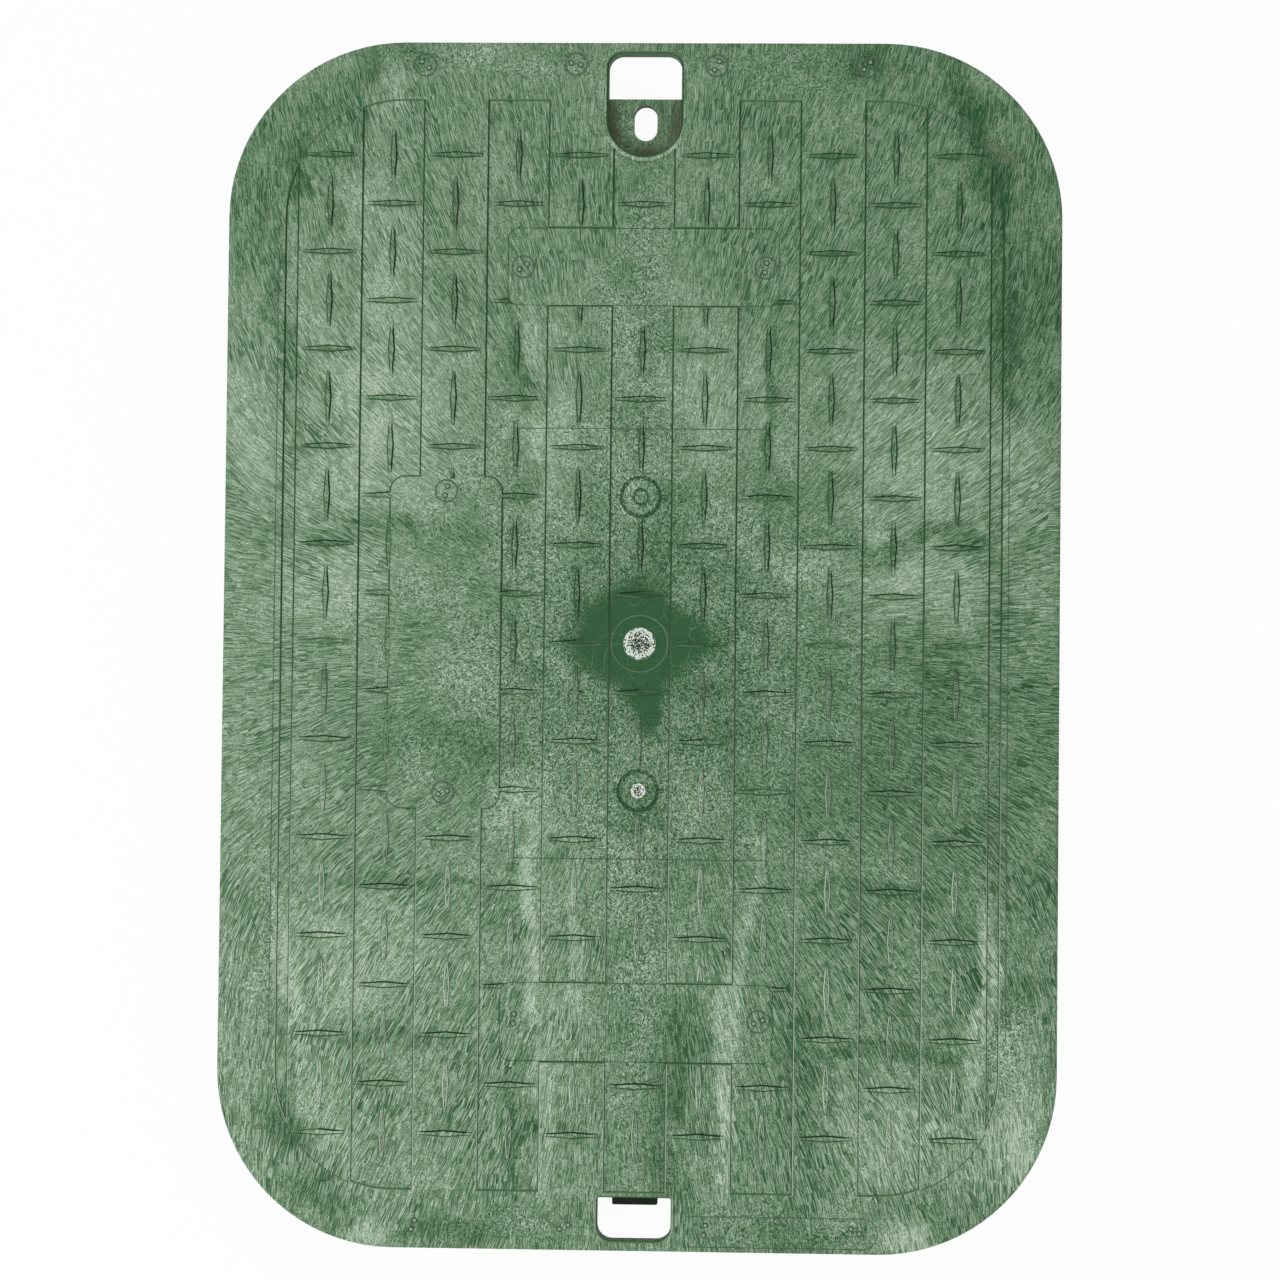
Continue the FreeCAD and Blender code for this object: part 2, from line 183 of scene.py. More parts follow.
# Brown soil that is left in the pocket, and on the tread
POCKET_SOIL = [(-13, 219, 6, 20, 8, 0.8), (13, 219, 6, 20, -8, 0.8), (0, 206, 17, 7, 0, 0.7)]
TREAD_SOIL = [(152, 205, 6, 12, 12, 0.5), (-79, 170, 3, 50, 0, 0.3)]

# Skin of the plastic, sizes in mm. Hairs are given as (turn of a lock in radians, size of a lock, hair
# length, hair width): they are drawn as wide as the coarser real ones, because finer ones would not show
CLOUD_SIZE = 26.0       # clouds that break up the edges of the drifts
LOOSE_WANDER = 34.0     # how far the clouds shift a drift
CLOSE_WANDER = 14.0     # how far they shift a narrow streak
CURL_SIZE = 17.0        # curled scratches in the smooth patch round the middle gate
FREE_HAIRS = (0.3, 8.0, 4.2, 0.29)
MATTED_HAIRS = (2.6, 1.8, 1.1, 0.3)
LOCK_SHIFT = 200.0      # shift, in hairs, that makes the locks differ
SKIN_GRAIN = 1.1        # size of the small bumps of the foam under the skin, and their height
SKIN_RELIEF = 0.1

# Tones of the skin by its paleness, and what is laid on it: painted highlight, brown soil and painted shade
SKIN_TONES = [(0.0, "#1A4722"), (0.15, "#295832"), (0.3, "#416743"), (0.5, "#668463"), (0.75, "#86A084"),
              (1.0, "#B6C9B4")]
# Painted highlight along edges
HIGHLIGHT_WHITE = "#CFDAC8"
BROWN_SOIL = "#574C38"
# Painted shade on the catch tab
TAB_SHADE = "#0E190B"

# Upward part of the normal over which a face turns from level to sloping, from a step of the columns to a
#  flank of a lug, and from level to an edge with the painted highlight
SLOPING = (0.985, 0.88)
LUG_FLANK = (0.62, 0.56)
HIGHLIGHT_EDGE = (0.965, 0.94)


def flow_angle(tree, spot):
    """Direction in which the melt ran: outwards from the middle, turned along the long edges."""
    x, y, _ = add(tree, "ShaderNodeSeparateXYZ", [spot]).outputs
    side = add(tree, "ShaderNodeMath", [x, HALF_WIDTH], operation="DIVIDE")
    side = add(tree, "ShaderNodeMath", [side], operation="ABSOLUTE")
    side = add(tree, "ShaderNodeMath", [side, TURN_POWER], operation="POWER")
    slow = add(tree, "ShaderNodeMath", [side, TURN_SLOWING, 1.0], operation="MULTIPLY_ADD")
    along_x = add(tree, "ShaderNodeMath", [x, slow], operation="DIVIDE")
    reach = add(tree, "ShaderNodeMath", [y, TURN_REACH], operation="DIVIDE")
    reach = add(tree, "ShaderNodeMath", [reach, reach, -1.0], operation="MULTIPLY_ADD")
    turn = add(tree, "ShaderNodeMath", [reach, side, 1.0], operation="MULTIPLY_ADD")
    along_y = add(tree, "ShaderNodeMath", [y, turn], operation="MULTIPLY")
    return add(tree, "ShaderNodeMath", [along_y, along_x], operation="ARCTAN2")


def hair_layer(tree, place, spread, lock, length, width):
    """Straight hairs in small locks, each hair with a tone of its own from 0 to 1: in a lock they lie along
    the flow, turned by up to half the spread."""
    locks = add(tree, "ShaderNodeTexVoronoi", {"Vector": place, "Scale": 1 / lock}, voronoi_dimensions="2D")
    chance = add(tree, "ShaderNodeSeparateColor", [locks.outputs["Color"]]).outputs
    lean = add(tree, "ShaderNodeMath", [0.5, chance["Red"]], operation="SUBTRACT")
    along = flow_angle(tree, locks.outputs["Position"])
    angle = add(tree, "ShaderNodeMath", [lean, spread, along], operation="MULTIPLY_ADD")
    back = add(tree, "ShaderNodeMath", [angle, -1.0], operation="MULTIPLY")
    local = add(tree, "ShaderNodeVectorMath", [place, locks.outputs["Position"]], operation="SUBTRACT")
    local = add(tree, "ShaderNodeVectorRotate", {"Vector": local, "Angle": back}, rotation_type="Z_AXIS")
    apart = add(tree, "ShaderNodeVectorMath", {0: locks.outputs["Color"], "Scale": LOCK_SHIFT},
                operation="SCALE")
    spot = add(tree, "ShaderNodeVectorMath", [local, (1 / length, 1 / width, 0), apart],
               operation="MULTIPLY_ADD")
    hairs = add(tree, "ShaderNodeTexVoronoi", {"Vector": spot, "Scale": 1.0, "Randomness": 0.8},
                voronoi_dimensions="2D")
    return add(tree, "ShaderNodeSeparateColor", [hairs.outputs["Color"]])


def shaded_spot(tree, coords, place):
    """The spot that is shaded: its place in mm, its normal, and how far it belongs to each kind of face."""
    x, y, z = add(tree, "ShaderNodeSeparateXYZ", [place]).outputs
    nx, ny, nz = add(tree, "ShaderNodeSeparateXYZ", [coords.outputs["Normal"]]).outputs
    square = []
    for axis, straight in ((x, STRAIGHT_X), (y, STRAIGHT_Y)):
        distance = add(tree, "ShaderNodeMath", [axis], operation="ABSOLUTE")
        square.append(add(tree, "ShaderNodeMath", [distance, straight], operation="SUBTRACT"))
    corner = add(tree, "ShaderNodeCombineXYZ", square)
    corner = add(tree, "ShaderNodeVectorMath", [corner, (0, 0, 0)], operation="MAXIMUM")
    corner = add(tree, "ShaderNodeVectorMath", [corner], operation="LENGTH").outputs["Value"]
    inside = add(tree, "ShaderNodeMapRange", {"Value": corner, "From Min": CORNER_RADIUS - 1.6,
                                             "From Max": CORNER_RADIUS - 2.4})
    high = add(tree, "ShaderNodeMapRange", {"Value": z, "From Min": RIM_Z - 2.0, "From Max": RIM_Z - 1.6})
    tread = add(tree, "ShaderNodeMath", [inside, high], operation="MULTIPLY")
    edge = add(tree, "ShaderNodeMath", [high, tread], operation="SUBTRACT")
    inner = add(tree, "ShaderNodeMath", [1.0, edge], operation="SUBTRACT")
    slope = add(tree, "ShaderNodeMapRange", {"Value": nz, "From Min": SLOPING[0], "From Max": SLOPING[1]},
                interpolation_type="SMOOTHSTEP")
    slope = add(tree, "ShaderNodeMath", [slope, inner], operation="MULTIPLY")
    flank = add(tree, "ShaderNodeMapRange", {"Value": nz, "From Min": LUG_FLANK[0], "From Max": LUG_FLANK[1]})
    flat = add(tree, "ShaderNodeMath", [nz, nz], operation="MULTIPLY")
    tilted = add(tree, "ShaderNodeMath", [1.0001, flat], operation="SUBTRACT")
    across = add(tree, "ShaderNodeMath", [nx, nx], operation="MULTIPLY")
    across = add(tree, "ShaderNodeMath", [across, tilted], operation="DIVIDE")
    return SimpleNamespace(place=place, x=x, y=y, z=z, nx=nx, ny=ny, nz=nz, high=high, tread=tread,
                           slope=slope, flank=flank, tilted=tilted, across=across)


def skin_strokes(tree, at, loose, cloud):
    """Tone of the strokes of the skin, from -0.5 to 0.5: nearly parallel where the melt ran freely, matted
    where streams met."""
    granular = soft_patches(tree, loose, GRANULAR)
    granular = add(tree, "ShaderNodeMath", [cloud, 0.7, granular], operation="MULTIPLY_ADD")
    granular = add(tree, "ShaderNodeMath", [granular, 0.3], operation="ADD", use_clamp=True)
    free = hair_layer(tree, at.place, *FREE_HAIRS)
    matted = hair_layer(tree, at.place, *MATTED_HAIRS)
    skin = add(tree, "ShaderNodeMix", {0: granular, 2: free, 3: matted})
    return add(tree, "ShaderNodeMath", [skin, 0.5], operation="SUBTRACT")


def drift_paleness(tree, at, loose, close, cloud, skin):
    """Paleness from drifts, streaks and strokes: 0 is clean dark green, 1 is silvery. The strokes are
    stronger in the lower half, and the left side is a little paler."""
    strength = add(tree, "ShaderNodeMapRange", {"Value": at.y, "From Min": 100.0, "From Max": -150.0,
                                               "To Min": 0.8, "To Max": 1.0})
    drifts = soft_patches(tree, loose, DARK_FLOW + PALE_DRIFTS)
    streaks = soft_patches(tree, close, STREAKS, STREAK_EDGE)
    drifts = add(tree, "ShaderNodeMath", [drifts, streaks], operation="ADD")
    tilt = add(tree, "ShaderNodeMath", [at.x, -0.0004, 0.5], operation="MULTIPLY_ADD")
    pale = add(tree, "ShaderNodeMath", [tilt, drifts], operation="ADD")
    pale = add(tree, "ShaderNodeMath", [cloud, 0.2, pale], operation="MULTIPLY_ADD")
    return add(tree, "ShaderNodeMath", [skin, strength, pale], operation="MULTIPLY_ADD")


def gate_blush(tree, at, close, skin, pale):
    """The smooth dark patch round the middle gate, with faint curled scratches, laid over the paleness."""
    blush = soft_patches(tree, close, GATE_BLUSH)
    blush = add(tree, "ShaderNodeMath", [skin, -0.3, blush], operation="MULTIPLY_ADD")
    blush = add(tree, "ShaderNodeMapRange", {"Value": blush, "From Min": 0.16, "From Max": 0.72},
                interpolation_type="SMOOTHSTEP")
    curl = add(tree, "ShaderNodeTexNoise",
               {"Vector": at.place, "Scale": 1 / CURL_SIZE, "Detail": 0.5, "Distortion": 1.2},
               noise_dimensions="2D")
    curl = add(tree, "ShaderNodeMath", [curl, 0.5], operation="SUBTRACT")
    curl = add(tree, "ShaderNodeMath", [curl], operation="ABSOLUTE")
    scratch = add(tree, "ShaderNodeMapRange", {"Value": curl, "From Min": 0.012, "From Max": 0.004,
                                              "To Min": 0.13, "To Max": 0.3})
    smooth = add(tree, "ShaderNodeMath", [skin, 0.12, scratch], operation="MULTIPLY_ADD")
    return add(tree, "ShaderNodeMix", {0: blush, 2: pale, 3: smooth})


def worn_and_shaded_paleness(tree, at, pale):
    """Lug tops are rubbed clean in the upper half and scuffed pale in the lower half; the grooves round the
    side gates and the edge of the upper side gate's dimple are darkened as painted shade, and the lip of the
    pocket is pale."""
    lower = add(tree, "ShaderNodeMapRange", {"Value": at.y, "From Min": 30.0, "From Max": -60.0},
                interpolation_type="SMOOTHSTEP")
    lug_top = add(tree, "ShaderNodeMapRange",
                  {"Value": at.z, "From Min": RIM_Z + 0.06, "From Max": RIM_Z + 0.16})
    wear_and_highlight = add(tree, "ShaderNodeMapRange", {"Value": lower, "To Min": -0.15, "To Max": 0.02})
    pale = add(tree, "ShaderNodeMath", [lug_top, wear_and_highlight, pale], operation="MULTIPLY_ADD")
    lip = add(tree, "ShaderNodeMath", [plan_distance(tree, at.place, 0, POCKET_Y), LIP_RADIUS, 0.9],
              operation="COMPARE")
    near = add(tree, "ShaderNodeMapRange",
               {"Value": at.y, "From Min": POCKET_Y - 6.0, "From Max": POCKET_Y - 9.0, "To Max": 0.2})
    pale = add(tree, "ShaderNodeMath", [lip, near, pale], operation="MULTIPLY_ADD")
    # Painted shade in the grooves round the side gates and at the edge of the dimple
    sunk = add(tree, "ShaderNodeMath", [at.z, GROOVE_Z, 0.08], operation="COMPARE")
    dimple = add(tree, "ShaderNodeMath", [plan_distance(tree, at.place, 0, DIMPLE_Y), DIMPLE_RADIUS, 0.6],
                 operation="COMPARE")
    sunk = add(tree, "ShaderNodeMath", [sunk, dimple], operation="MAXIMUM")
    return add(tree, "ShaderNodeMath", [sunk, -0.32, pale], operation="MULTIPLY_ADD", use_clamp=True)


def skin_colour(tree, pale):
    ramp = add(tree, "ShaderNodeValToRGB", [pale])
    tones = ramp.color_ramp.elements
    tones.remove(tones[0])
    tones[0].position = SKIN_TONES[0][0]
    tones[0].color = linear(SKIN_TONES[0][1])
    for paleness, colour in SKIN_TONES[1:]:
        tones.new(paleness).color = linear(colour)
    return ramp.outputs[0]


def wall_colour_and_shade(tree, at):
    """Outer walls and the underside keep clean moulded green, with painted shade on the wall of the bolt
    hole. On the tread the steps across the width are darkened with painted shade and some dirt, those along
    the length only at their foot, and the steeper flanks of the lugs most on the side that faces away from
    the lamp, as painted shade."""
    # Painted shade, with some dirt, at the foot of the steps and over the steps across the width
    foot = add(tree, "ShaderNodeMapRange", {"Value": at.z, "From Min": STEP_HALF_Z, "From Max": STEP_HALF_Z - 0.3})
    foot = add(tree, "ShaderNodeMath", [foot, at.across], operation="MAXIMUM", use_clamp=True)
    # Painted shade: lug flanks facing away from the lamp are darker than those facing it
    side = add(tree, "ShaderNodeMath", [at.nx, at.ny], operation="ADD")
    away = add(tree, "ShaderNodeMapRange", {"Value": side, "From Min": -0.5, "From Max": -0.1})
    flanks = add(tree, "ShaderNodeMix", {0: away, 6: linear("#3A5C37"), 7: linear("#163517")},
                 data_type="RGBA")
    steps = add(tree, "ShaderNodeMix", {0: foot, 6: linear("#587A55"), 7: linear("#2A4D29")},
                data_type="RGBA")
    steps = add(tree, "ShaderNodeMix", {0: at.flank, 6: steps.outputs[2], 7: flanks.outputs[2]},
                data_type="RGBA")
    # Painted shade on the wall of the bolt hole
    hole = add(tree, "ShaderNodeMapRange",
               {"Value": plan_distance(tree, at.place, 0, POCKET_Y), "From Min": 9.0, "From Max": 8.5})
    hole = add(tree, "ShaderNodeMath", [hole, at.tilted], operation="MULTIPLY", use_clamp=True)
    walls = add(tree, "ShaderNodeMix", {0: hole, 6: linear("#456F45"), 7: linear("#16291A")},
                data_type="RGBA")
    walls = add(tree, "ShaderNodeMix", {0: at.tread, 6: walls.outputs[2], 7: steps.outputs[2]},
                data_type="RGBA")
    return walls.outputs[2]


def edge_highlight_share(tree, at):
    """Painted highlight: in the lower half the steps across the width are painted white along their upper
    edges, the lugs most but not at their foot; the edge of the ring round the middle gate gets a painted
    highlight too."""
    turned = add(tree, "ShaderNodeMapRange",
                 {"Value": at.nz, "From Min": HIGHLIGHT_EDGE[0], "From Max": HIGHLIGHT_EDGE[1]})
    below = add(tree, "ShaderNodeMapRange", {"Value": at.y, "From Min": 20.0, "From Max": -130.0})
    lug_flank_weight = add(tree, "ShaderNodeMapRange", {"Value": at.flank, "To Min": 0.6, "To Max": 1.0})
    lug_foot = add(tree, "ShaderNodeMath", [at.z, RIM_Z + 0.2, 0.17], operation="COMPARE")
    clear = add(tree, "ShaderNodeMath", [1.0, lug_foot], operation="SUBTRACT")
    wear_and_highlight = add(tree, "ShaderNodeMapRange",
                 {"Value": at.z, "From Min": STEP_HALF_Z - 0.03, "From Max": STEP_HALF_Z + 0.03})
    for share in (turned, at.across, below, lug_flank_weight, at.tread, clear):
        wear_and_highlight = add(tree, "ShaderNodeMath", [wear_and_highlight, share], operation="MULTIPLY")
    ring = plan_distance(tree, at.place, 0, 0)
    ring = add(tree, "ShaderNodeMath", [ring, GATE_RING, 0.25], operation="COMPARE")
    ring = add(tree, "ShaderNodeMath", [ring, 0.14], operation="MULTIPLY")
    ring = add(tree, "ShaderNodeMath", [ring, at.high], operation="MULTIPLY")
    return add(tree, "ShaderNodeMath", [wear_and_highlight, ring], operation="MAXIMUM", use_clamp=True)


def brown_soil_share(tree, at, loose, close, skin):
    """Soil on and above the floor of the pocket, and in two spots on the tread."""
    above = add(tree, "ShaderNodeMapRange",
                {"Value": at.z, "From Min": POCKET_FLOOR_Z - 0.4, "From Max": POCKET_FLOOR_Z - 0.1})
    in_pocket = add(tree, "ShaderNodeMath", [above, at.high], operation="SUBTRACT")
    soil = soft_patches(tree, close, POCKET_SOIL)
    spots = soft_patches(tree, loose, TREAD_SOIL)
    soil = add(tree, "ShaderNodeMath", [soil, in_pocket, spots], operation="MULTIPLY_ADD")
    patchy = add(tree, "ShaderNodeMath", [skin, 1.2, 0.7], operation="MULTIPLY_ADD", use_clamp=True)
    return add(tree, "ShaderNodeMath", [soil, patchy], operation="MULTIPLY", use_clamp=True)


def tab_shade_share(tree, at):
    """Painted shade on the upper face of the catch tab."""
    deep = add(tree, "ShaderNodeMapRange", {"Value": at.z, "From Min": TAB_Z + 1.0, "From Max": TAB_Z + 0.5})
    far = add(tree, "ShaderNodeMapRange", {"Value": at.y, "From Min": TAB_Y + 1.0, "From Max": TAB_Y})
    deep = add(tree, "ShaderNodeMath", [deep, far], operation="MULTIPLY")
    return add(tree, "ShaderNodeMath", [at.nz, deep], operation="MULTIPLY", use_clamp=True)


def foam_hdpe_moulded():
    """Green structural-foam HDPE, injection moulded: matt, with silvery hair-like flow streaks that run out
    from the gate, pale drifts where gas reached the skin, and clean darker green where it stayed smooth."""
    material, tree, coords, place, shader = new_material("foam_hdpe_moulded_green")
    at = shaded_spot(tree, coords, place)
    noise = add(tree, "ShaderNodeTexNoise", {"Vector": place, "Scale": 1 / CLOUD_SIZE, "Detail": 5.0},
                noise_dimensions="2D")
    wander = add(tree, "ShaderNodeVectorMath", [noise.outputs["Color"], (0.5, 0.5, 0.5)],
                 operation="SUBTRACT")
    loose = add(tree, "ShaderNodeVectorMath", [wander, (LOOSE_WANDER, LOOSE_WANDER, 0), place],
                operation="MULTIPLY_ADD")
    close = add(tree, "ShaderNodeVectorMath", [wander, (CLOSE_WANDER, CLOSE_WANDER, 0), place],
                operation="MULTIPLY_ADD")
    cloud = add(tree, "ShaderNodeMapRange", {"Value": noise, "From Min": 0.25, "From Max": 0.75,
                                            "To Min": -0.5, "To Max": 0.5})

    skin = skin_strokes(tree, at, loose, cloud)
    pale = drift_paleness(tree, at, loose, close, cloud, skin)
    pale = gate_blush(tree, at, close, skin, pale)
    pale = worn_and_shaded_paleness(tree, at, pale)
    colour = skin_colour(tree, pale)
    # Laid over the skin: painted shade on walls, steps and lug flanks, a painted highlight along edges, brown
    # soil, and painted shade on the catch tab
    layers = [(at.slope, wall_colour_and_shade(tree, at)),
              (edge_highlight_share(tree, at), linear(HIGHLIGHT_WHITE)),
              (brown_soil_share(tree, at, loose, close, skin), linear(BROWN_SOIL)),
              (tab_shade_share(tree, at), linear(TAB_SHADE))]
    for share, laid in layers:
        colour = add(tree, "ShaderNodeMix", {0: share, 6: colour, 7: laid}, data_type="RGBA").outputs[2]
    tree.links.new(colour, shader.inputs["Base Color"])

    rough = add(tree, "ShaderNodeMapRange", {"Value": pale, "To Min": 0.5, "To Max": 0.72})
    tree.links.new(rough.outputs[0], shader.inputs["Roughness"])
    grain = add(tree, "ShaderNodeTexNoise", {"Vector": place, "Scale": 1 / SKIN_GRAIN, "Detail": 1.0})
    relief = add(tree, "ShaderNodeBump", {"Height": grain, "Distance": SKIN_RELIEF * MM, "Strength": 0.6})
    tree.links.new(relief.outputs[0], shader.inputs["Normal"])
    shader.inputs["Specular IOR Level"].default_value = 0.2
    return material


# Torn faces of the two gates that stand up: (x, y, z, radius), and the size of the cells in them
TORN_GATES = [(0.0, 0.0, 35.2, 6.8), (0.0, -61.5, 35.6, 3.2)]
TORN_CELL = 0.65


def torn_foam_hdpe():
    """The same plastic where a gate was torn off: stretched white at its rim, small dark cells inside."""
    material, tree, _, place, shader = new_material("foam_hdpe_torn_pale")
    cells = add(tree, "ShaderNodeTexNoise", {"Vector": place, "Scale": 1 / TORN_CELL, "Detail": 1.0})
    reach = None
    for x, y, z, radius in TORN_GATES:
        local = add(tree, "ShaderNodeMapping", {"Vector": place, "Location": (x, y, z),
                                               "Scale": (radius, radius, radius)}, vector_type="TEXTURE")
        away = add(tree, "ShaderNodeVectorMath", [local], operation="LENGTH").outputs["Value"]
        reach = away if reach is None else add(tree, "ShaderNodeMath", [reach, away], operation="MINIMUM")
    rim = add(tree, "ShaderNodeMapRange", {"Value": reach, "From Min": 0.4, "From Max": 0.92,
                                          "To Min": -0.09, "To Max": 0.14})
    cells = add(tree, "ShaderNodeMath", [cells, rim], operation="ADD")
    ramp = add(tree, "ShaderNodeValToRGB", [cells])
    ramp.color_ramp.elements[0].position = 0.44
    ramp.color_ramp.elements[0].color = linear("#1C2E18")
    ramp.color_ramp.elements[1].position = 0.54
    ramp.color_ramp.elements[1].color = linear("#D2DDD0")
    tree.links.new(ramp.outputs[0], shader.inputs["Base Color"])
    shader.inputs["Roughness"].default_value = 0.75
    return material


def shaded_foam_hdpe():
    """The same plastic on small moulded lines and pegs: painted shade darkens their sides, and their tops are
    pale.
    """
    material, tree, coords, _, shader = new_material("foam_hdpe_moulded_painted_shade")
    nz = add(tree, "ShaderNodeSeparateXYZ", [coords.outputs["Normal"]]).outputs["Z"]
    top = add(tree, "ShaderNodeMapRange", {"Value": nz, "From Min": 0.985, "From Max": 0.995})
    colour = add(tree, "ShaderNodeMix", {0: top, 6: linear("#27452A"), 7: linear("#7C967A")},
                 data_type="RGBA")
    tree.links.new(colour.outputs[2], shader.inputs["Base Color"])
    shader.inputs["Roughness"].default_value = 0.65
    return material


plastic = foam_hdpe_moulded()
torn_plastic = torn_foam_hdpe()
shaded_plastic = shaded_foam_hdpe()

# Rounding of the moulding: radius and join distance in mm, angles in degrees
EDGE_RADIUS = 0.22
JOIN_DISTANCE = 0.002
FLAT_ANGLE = 0.2
SHARP_ANGLE = 25


def rounded_cover():
    """The moulding itself: the model's own form with its sharp edges rounded as a mould leaves them."""
    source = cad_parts["cover"]
    shape = bmesh.new()
    shape.from_mesh(source.data)
    bmesh.ops.remove_doubles(shape, verts=shape.verts, dist=JOIN_DISTANCE * MM)
    bmesh.ops.dissolve_limit(shape, angle_limit=math.radians(FLAT_ANGLE), verts=shape.verts,
                             edges=shape.edges)
    mesh = bpy.data.meshes.new("cover_moulding")
    shape.to_mesh(mesh)
    shape.free()
    mesh.materials.clear()
    mesh.materials.append(plastic)
    piece = bpy.data.objects.new("cover_moulding", mesh)
    scene.collection.objects.link(piece)
    bevel = piece.modifiers.new("edge_radius", "BEVEL")
    bevel.width = EDGE_RADIUS * MM
    bevel.segments = 2
    bevel.limit_method = "ANGLE"
    bevel.angle_limit = math.radians(SHARP_ANGLE)
    return piece


def new_tree(name, sizes):
    """Geometry Nodes tree with a geometry input, one named input for each size and one for its material."""
    tree = bpy.data.node_groups.new(name, "GeometryNodeTree")
    tree.interface.new_socket("Geometry", in_out="INPUT", socket_type="NodeSocketGeometry")
    for label in sizes:
        tree.interface.new_socket(label, in_out="INPUT", socket_type="NodeSocketFloat")
    tree.interface.new_socket("Material", in_out="INPUT", socket_type="NodeSocketMaterial")
    tree.interface.new_socket("Geometry", in_out="OUTPUT", socket_type="NodeSocketGeometry")
    return tree, add(tree, "NodeGroupInput").outputs


def grown_piece(name, tree, seed_mesh, sizes, material):
    """Runs a tree on a seed mesh and keeps the result as a plain mesh that rides on the cover."""
    seed = bpy.data.objects.new(name + "_seed", seed_mesh)
    scene.collection.objects.link(seed)
    modifier = seed.modifiers.new(name, "NODES")
    modifier.node_group = tree
    for item in tree.interface.items_tree:
        if item.name in sizes:
            modifier[item.identifier] = sizes[item.name] * MM
        if item.name == "Material":
            modifier[item.identifier] = material
    bpy.context.view_layer.update()
    mesh = bpy.data.meshes.new_from_object(seed.evaluated_get(bpy.context.evaluated_depsgraph_get()))
    mesh.name = name
    bpy.data.objects.remove(seed)
    piece = bpy.data.objects.new(name, mesh)
    scene.collection.objects.link(piece)
    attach(piece, "root")
    return piece


# Prints of the screws that hold the plates of the mould, each with two pegs: (x, y, z, turn in degrees,
# whether the ring round them shows)
SCREW_PRINTS = [(-81.7, 63.4, RIM_Z, 75, True), (-81.7, -63.0, RIM_Z, 20, True),
                (-50.5, 158.0, LABEL_Z, 35, True), (51.3, 158.0, LABEL_Z, 80, True),
                (-51.0, -157.0, LABEL_Z, 85, False), (51.0, -157.0, LABEL_Z, 20, True),
                (-92.6, 243.0, RIM_Z, -40, True), (-29.2, 243.5, RIM_Z, -10, True),
                (30.0, 243.0, RIM_Z, 60, True), (93.0, 243.0, RIM_Z, 50, True),
                (29.5, -243.5, RIM_Z, 80, False), (92.0, -243.0, RIM_Z, -30, False),
                (-92.0, -243.0, RIM_Z, 70, False), (-29.0, -243.0, RIM_Z, 25, False)]
RING_STEPS = 28
BEAD_STEPS = 8
PEG_STEPS = 10


def screw_prints():
    """Raised rings, and two pegs in each, sunk a little into the face below."""
    seed = bpy.data.meshes.new("screw_print_places")
    seed.from_pydata([Vector(mark[:3]) * MM for mark in SCREW_PRINTS], [], [])
    turns = seed.attributes.new("turn", "FLOAT", "POINT")
    turns.data.foreach_set("value", [math.radians(mark[3]) for mark in SCREW_PRINTS])
    ringed = seed.attributes.new("ringed", "BOOLEAN", "POINT")
    ringed.data.foreach_set("value", [mark[4] for mark in SCREW_PRINTS])
    sizes = {"Ring Radius": 4.6, "Line Radius": 0.32, "Peg Radius": 1.6, "Peg Top Radius": 0.75,
             "Peg Height": 0.9, "Peg Shift": 2.0}
    tree, given = new_tree("mould_screw_prints", sizes)
    circle = add(tree, "GeometryNodeCurvePrimitiveCircle",
                 {"Resolution": RING_STEPS, "Radius": given["Ring Radius"]})
    bead = add(tree, "GeometryNodeCurvePrimitiveCircle",
               {"Resolution": BEAD_STEPS, "Radius": given["Line Radius"]})
    ring = add(tree, "GeometryNodeCurveToMesh", {"Curve": circle, "Profile Curve": bead})
    ring = add(tree, "GeometryNodeTransform", {"Geometry": ring, "Scale": (1, 1, 0.7)})
    peg = add(tree, "GeometryNodeMeshCone",
              {"Vertices": PEG_STEPS, "Radius Top": given["Peg Top Radius"],
               "Radius Bottom": given["Peg Radius"], "Depth": given["Peg Height"]})
    sink = add(tree, "ShaderNodeMath", [given["Peg Height"], -0.4], operation="MULTIPLY")
    pegs = add(tree, "GeometryNodeJoinGeometry")
    for direction in (1, -1):
        shift = add(tree, "ShaderNodeMath", [given["Peg Shift"], direction], operation="MULTIPLY")
        shift = add(tree, "ShaderNodeCombineXYZ", {0: shift, 2: sink})
        placed = add(tree, "GeometryNodeTransform", {"Geometry": peg, "Translation": shift})
        tree.links.new(placed.outputs[0], pegs.inputs[0])
    angle = add(tree, "GeometryNodeInputNamedAttribute", {"Name": "turn"}, data_type="FLOAT")
    angle = add(tree, "ShaderNodeCombineXYZ", {2: angle})
    ringed = add(tree, "GeometryNodeInputNamedAttribute", {"Name": "ringed"}, data_type="BOOLEAN")
    pegs = add(tree, "GeometryNodeInstanceOnPoints",
               {"Points": given["Geometry"], "Instance": pegs, "Rotation": angle})
    rings = add(tree, "GeometryNodeInstanceOnPoints",
                {"Points": given["Geometry"], "Instance": ring, "Selection": ringed})
    prints = add(tree, "GeometryNodeJoinGeometry", [pegs])
    tree.links.new(rings.outputs[0], prints.inputs[0])
    whole = add(tree, "GeometryNodeRealizeInstances", [prints])
    whole = add(tree, "GeometryNodeSetMaterial", {"Geometry": whole, "Material": given["Material"]})
    add(tree, "NodeGroupOutput", [whole])
    return grown_piece("mould_screw_prints", tree, seed, sizes, shaded_plastic)


# Thin raised lines where the plates of the mould meet: straight ones as (x, y, x, y), and arcs as
# (centre x, centre y, radius, from degrees, to degrees)
SEAM_LINES = [(-153.5, -165, -153.5, 165), (153.5, -165, 153.5, 165), (-53, 90, 53, 90), (-53, -90, 53, -90),
              (22, -237.9, 95, -237.9), (22, -250.5, 95, -250.5)]
SEAM_ARCS = [(101, 178.7, 50.3, 28, 69), (-101, 178.7, 50.3, 111, 152), (-101, -178.7, 50.3, 208, 249),
             (101, -178.7, 50.3, 291, 332), (95, -244.2, 6.3, -90, 90)]
ARC_STEPS = 12


